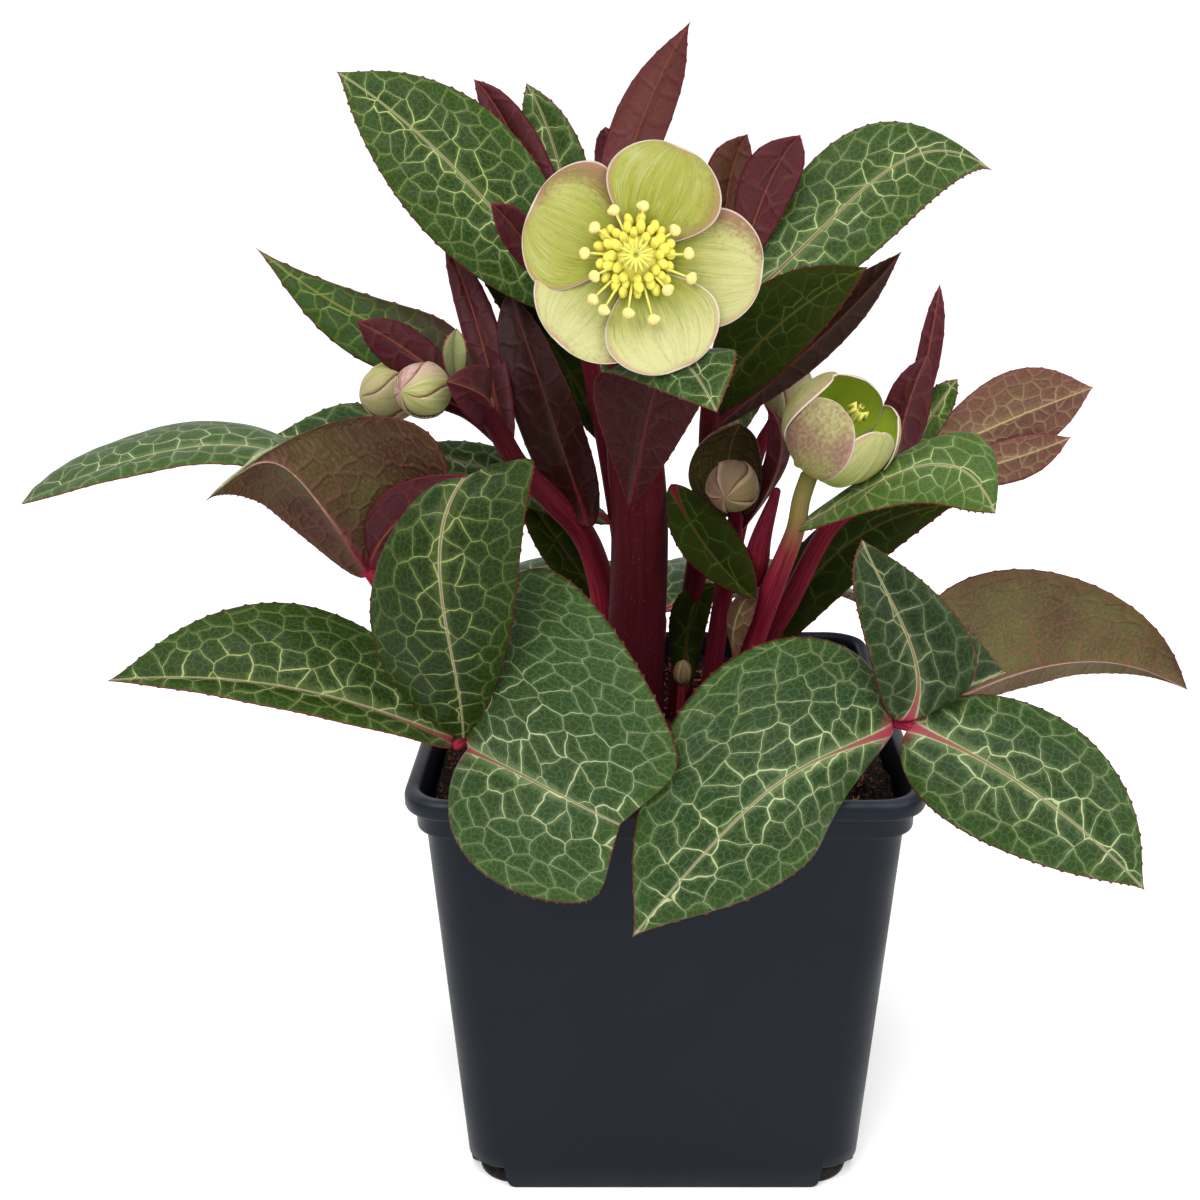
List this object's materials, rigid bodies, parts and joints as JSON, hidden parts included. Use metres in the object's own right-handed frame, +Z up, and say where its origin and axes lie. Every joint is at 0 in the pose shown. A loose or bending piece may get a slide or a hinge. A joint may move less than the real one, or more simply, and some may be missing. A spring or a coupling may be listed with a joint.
{
  "type": "hellebore plant in a square nursery pot",
  "caption": "Potted hellebore in bloom, with leathery netted leaves, maroon stems and bracts, open and half-open lime flowers and buds, in a square plastic nursery pot.",
  "frame": {"origin": "centre of the pot's flat base, on the surface that the pot stands on", "axes": "+Z up, -Y towards the open flower at the front, +X to the right seen from the front"},
  "size_m": [0.3428, 0.2374, 0.3332],
  "materials": {
    "pot": "dark slate satin moulded plastic with a fine vertical brushing and pale dust specks",
    "compost": "dark brown crumbly fibrous compost",
    "leaf_green": "dark green leathery blade with a raised pale net of veins and a fine red toothed edge",
    "leaf_shade": "deep green inner blade with a faint pale net of veins",
    "leaf_maroon": "maroon brown bract and underside with darker veins",
    "stem_dark": "satin dark maroon stem with fine streaks along it",
    "stem_pink": "satin crimson pink stalk, greener at its nodes",
    "sepal_lime": "lime green sepal with radial streaks and a pink edge",
    "stamen_yellow": "pale yellow anthers on green yellow threads",
    "bud_blush": "green bud flushed with dusky pink"
  },
  "bodies": {
    "root": {"bract_left_pale": "sepal_lime", "bud_crown": "bud_blush", "bud_hood": "bud_blush", "bud_left_front": "bud_blush", "bud_left_rear": "bud_blush", "bud_rear": "bud_blush", "flower_sepals": "sepal_lime", "flower_stamens": "stamen_yellow", "flower_styles": "sepal_lime", "half_flower_sepals": "sepal_lime", "half_flower_styles": "stamen_yellow", "leaf_collar": "leaf_green", "leaf_east_back": "leaf_maroon", "leaf_east_front": "leaf_green", "leaf_east_out": "leaf_green", "leaf_east_up": "leaf_green", "leaf_high_back": "leaf_maroon", "leaf_high_fold": "leaf_maroon", "leaf_high_inner": "leaf_maroon", "leaf_high_long": "leaf_green", "leaf_left_bronze": "leaf_maroon", "leaf_left_shade": "leaf_green", "leaf_low_crown": "leaf_shade", "leaf_low_left": "leaf_shade", "leaf_low_right": "leaf_shade", "leaf_low_side": "leaf_shade", "leaf_rear_left": "leaf_green", "leaf_rear_middle": "leaf_green", "leaf_rear_right": "leaf_green", "leaf_right_shade": "leaf_shade", "leaf_side_net": "leaf_green", "leaf_side_small": "leaf_green", "leaf_top_left": "leaf_green", "leaf_top_narrow": "leaf_green", "leaf_top_rear_left": "leaf_green", "leaf_top_rear_right": "leaf_green", "leaf_top_right": "leaf_green", "leaf_top_shade": "leaf_shade", "leaf_west_front": "leaf_green", "leaf_west_out": "leaf_green", "leaf_west_up": "leaf_green", "pot": "pot", "sheath_red": "stem_dark", "soil": "compost", "stalk_east": "stem_pink", "stalk_high": "stem_pink", "stalk_rear": "stem_pink", "stalk_west": "stem_pink", "stem_hood": "leaf_maroon", "stem_left": "leaf_maroon", "stem_middle": "stem_dark", "stem_pink": "stem_pink", "stem_rear": "leaf_maroon", "stem_side": "leaf_maroon", "stem_top_left": "leaf_maroon", "stem_top_right": "leaf_maroon"}
  },
  "joints": []
}
